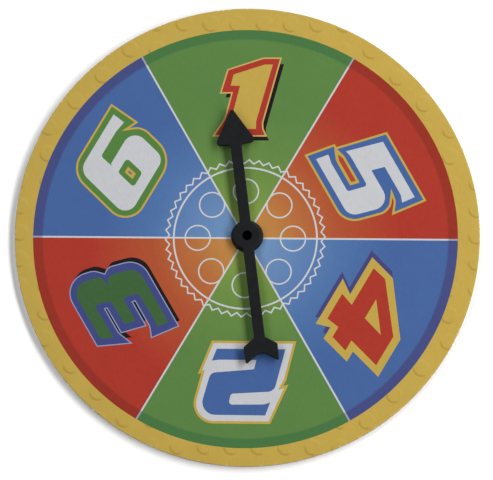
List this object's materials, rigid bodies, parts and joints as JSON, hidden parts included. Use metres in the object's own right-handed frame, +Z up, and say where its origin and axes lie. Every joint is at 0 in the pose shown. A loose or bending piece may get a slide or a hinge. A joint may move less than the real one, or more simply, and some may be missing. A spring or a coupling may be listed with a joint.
{
  "type": "game spinner",
  "caption": "Round laminated card game spinner with numbered coloured sectors and a black arrow that spins on a snap-in centre spindle.",
  "frame": {"origin": "on the spin axis, at the underside of the spindle flange that the spinner rests on", "axes": "+Z up along the spin axis, out of the printed face; +Y from the axis to the middle of the sector numbered 1"},
  "size_m": [0.165, 0.165, 0.0044],
  "materials": {
    "printed_paper": "satin litho print, multicoloured",
    "greyboard": "raw punched edge",
    "backing_paper": "uncoated",
    "spindle_plastic": "moulded satin",
    "arrow_plastic": "moulded satin"
  },
  "bodies": {
    "board": {"face_sheet": "printed_paper", "board_core": "greyboard", "backing_sheet": "backing_paper", "spindle_base": "spindle_plastic", "bearing_collar": "spindle_plastic"},
    "pointer": {"arrow": "arrow_plastic"}
  },
  "joints": [
    {"name": "arrow_spin", "type": "hinge", "parent": "board", "child": "pointer", "pos_m": [0, 0, 0.00355], "axis": [0, 0, 1], "continuous": true}
  ]
}
